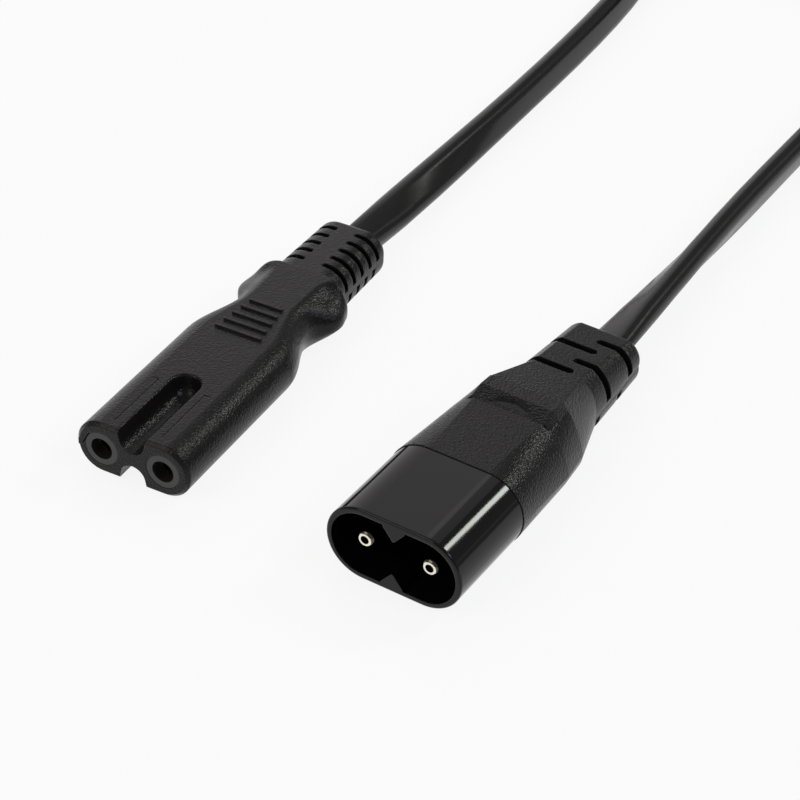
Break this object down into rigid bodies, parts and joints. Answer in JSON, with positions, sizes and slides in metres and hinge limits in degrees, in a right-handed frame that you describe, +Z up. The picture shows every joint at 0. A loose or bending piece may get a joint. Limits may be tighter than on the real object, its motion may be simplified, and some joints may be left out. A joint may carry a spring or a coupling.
{
  "type": "figure eight power connector",
  "caption": "Figure eight socket connector and its mating shrouded two-pin plug, moulded on the two ends of one flat twin cord.",
  "frame": {"origin": "middle of the flat underside of the socket connector's body, 18 mm behind its face", "axes": "+Z up from the table that both connectors lie on, -Y out of the socket's two mouths, +X from the left lobe to the right lobe"},
  "size_m": [0.0662, 0.2332, 0.0122],
  "materials": {
    "soft_cover": "grained satin soft vinyl",
    "hard_shell": "smooth satin thermoplastic",
    "contact_metal": "nickel plated",
    "cord_sheath": "smooth semi-gloss vinyl",
    "core_insulation": "smooth vinyl",
    "strands": "bare copper",
    "tie": "matte strip"
  },
  "bodies": {
    "root": {"socket_overmould": "soft_cover", "plug_overmould": "soft_cover", "plug_shroud": "hard_shell", "socket_insert": "hard_shell", "socket_contact_left": "contact_metal", "socket_contact_right": "contact_metal", "plug_pin_left": "contact_metal", "plug_pin_right": "contact_metal", "socket_sheath_end": "cord_sheath", "plug_sheath_end": "cord_sheath", "cord_socket_side": "cord_sheath", "cord_plug_side": "cord_sheath", "cord_coil": "cord_sheath", "socket_core_left": "core_insulation", "socket_core_right": "core_insulation", "plug_core_left": "core_insulation", "plug_core_right": "core_insulation", "socket_conductor_left": "strands", "socket_conductor_right": "strands", "plug_conductor_left": "strands", "plug_conductor_right": "strands", "coil_tie": "tie"}
  },
  "joints": []
}
